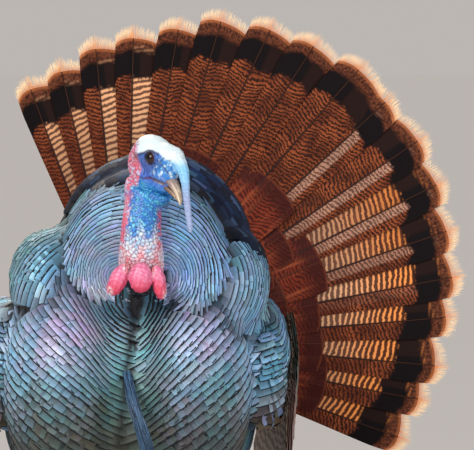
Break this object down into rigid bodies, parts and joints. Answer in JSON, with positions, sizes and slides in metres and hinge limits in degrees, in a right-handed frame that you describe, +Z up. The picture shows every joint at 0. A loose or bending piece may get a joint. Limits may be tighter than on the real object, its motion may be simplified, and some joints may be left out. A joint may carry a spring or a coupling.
{
  "type": "wild turkey",
  "caption": "Strutting wild turkey tom standing still, tail fanned and tilted to its left, wings drooped to the floor, head turned to its left.",
  "frame": {"origin": "bottom centre of the whole bird's bounding box, on the floor it stands on", "axes": "+Z up; the body faces -Y; +X is the bird's left, the side its head turns and its tail leans to"},
  "size_m": [0.5706, 0.5932, 0.794],
  "materials": {
    "body_plumage": "glossy iridescent feathers",
    "quills": "barred flight feathers",
    "tail": "barred chestnut feathers with pale tips",
    "blue_skin": "bare pebbled skin",
    "red_skin": "bare pebbled skin",
    "horn": "horn",
    "eye": "wet",
    "bristle": "coarse bristles",
    "leg_scale": "scaled skin"
  },
  "bodies": {
    "root": {"trunk": "body_plumage", "thigh_L": "body_plumage", "thigh_R": "body_plumage", "wing_arm_L": "body_plumage", "wing_arm_R": "body_plumage", "wing_quills_L": "quills", "wing_quills_R": "quills", "tail_fan": "tail", "tail_coverts": "tail", "head": "blue_skin", "neck": "red_skin", "wattle_L": "red_skin", "wattle_M": "red_skin", "wattle_R": "red_skin", "snood": "blue_skin", "bill_upper": "horn", "bill_lower": "horn", "eye_L": "eye", "eye_R": "eye", "beard": "bristle", "shank_L": "leg_scale", "shank_R": "leg_scale", "foot_L": "leg_scale", "foot_R": "leg_scale"}
  },
  "joints": []
}
